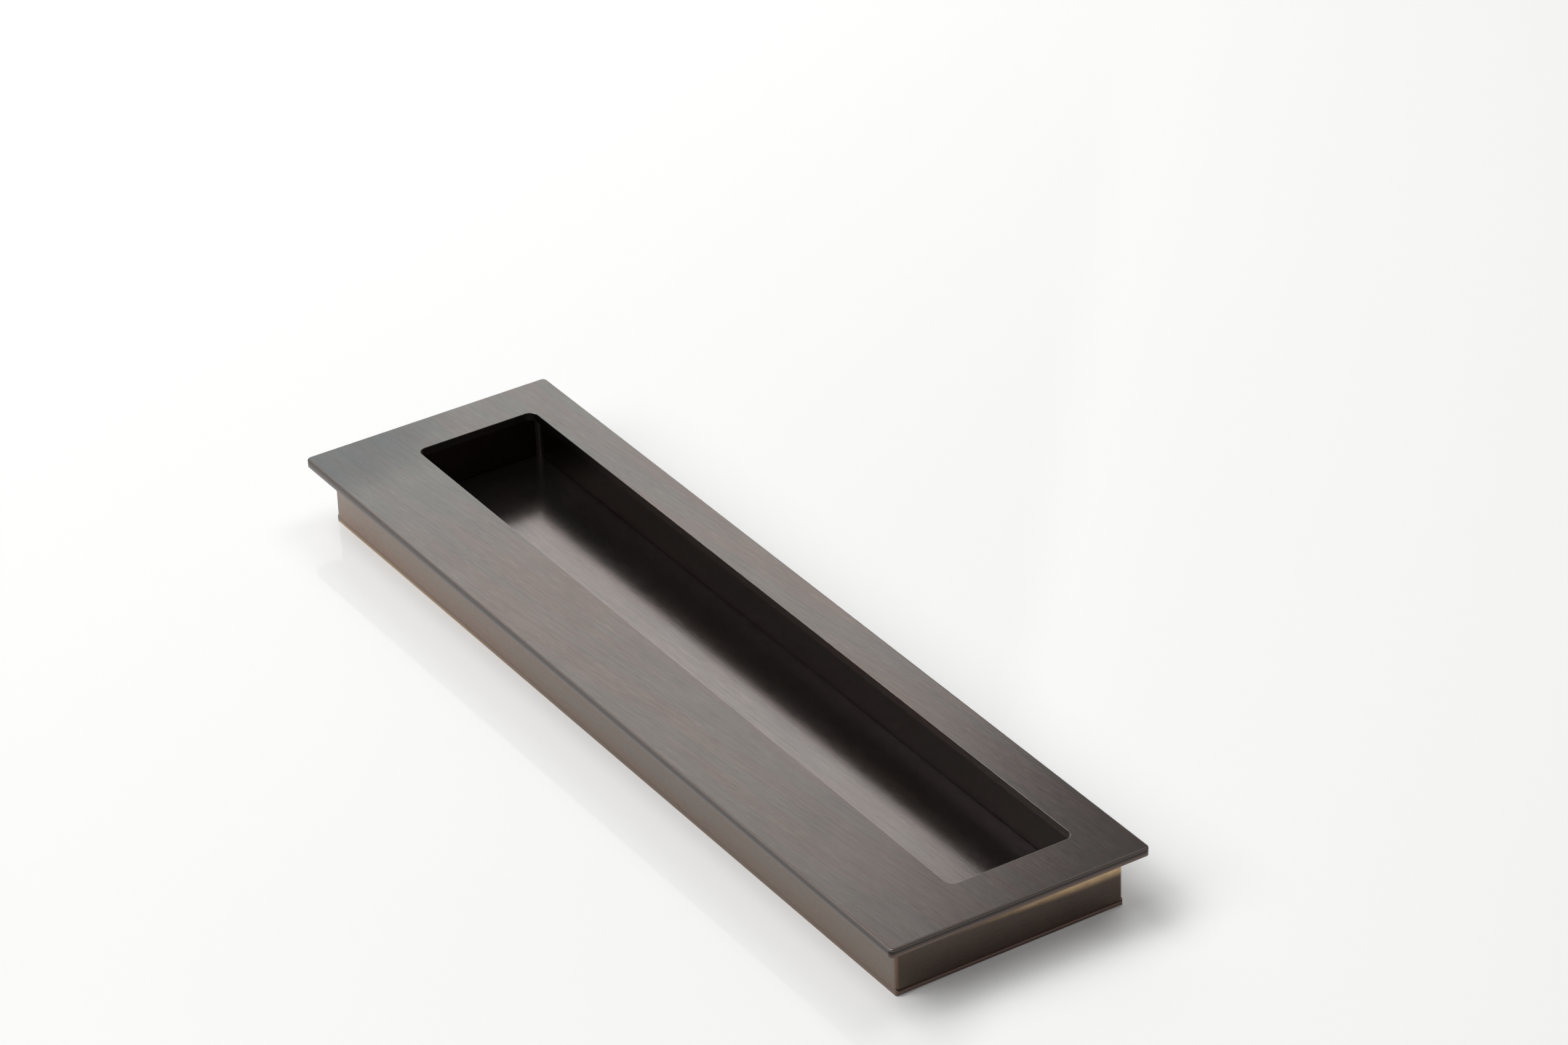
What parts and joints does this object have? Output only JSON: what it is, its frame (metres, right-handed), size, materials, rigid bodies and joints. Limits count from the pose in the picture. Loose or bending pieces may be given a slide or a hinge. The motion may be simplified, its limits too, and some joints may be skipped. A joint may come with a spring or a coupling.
{
  "type": "recessed flush pull",
  "caption": "Long recessed flush pull for a sliding or cupboard door: flat face plate with an offset opening, finger lip and shallow soldered tray behind it.",
  "frame": {"origin": "underside of the base plate, below the middle of the face plate", "axes": "+X along the pull, +Y towards the narrow flange, +Z out of the face plate"},
  "size_m": [0.305, 0.0808, 0.02],
  "materials": {
    "dark_bronze": "dark bronze patina over brass, satin, brushed along the length"
  },
  "bodies": {
    "root": {"face_plate": "dark_bronze", "lip_side_wall": "dark_bronze", "narrow_side_wall": "dark_bronze", "far_end_wall": "dark_bronze", "near_end_wall": "dark_bronze", "base_plate": "dark_bronze"}
  },
  "joints": []
}
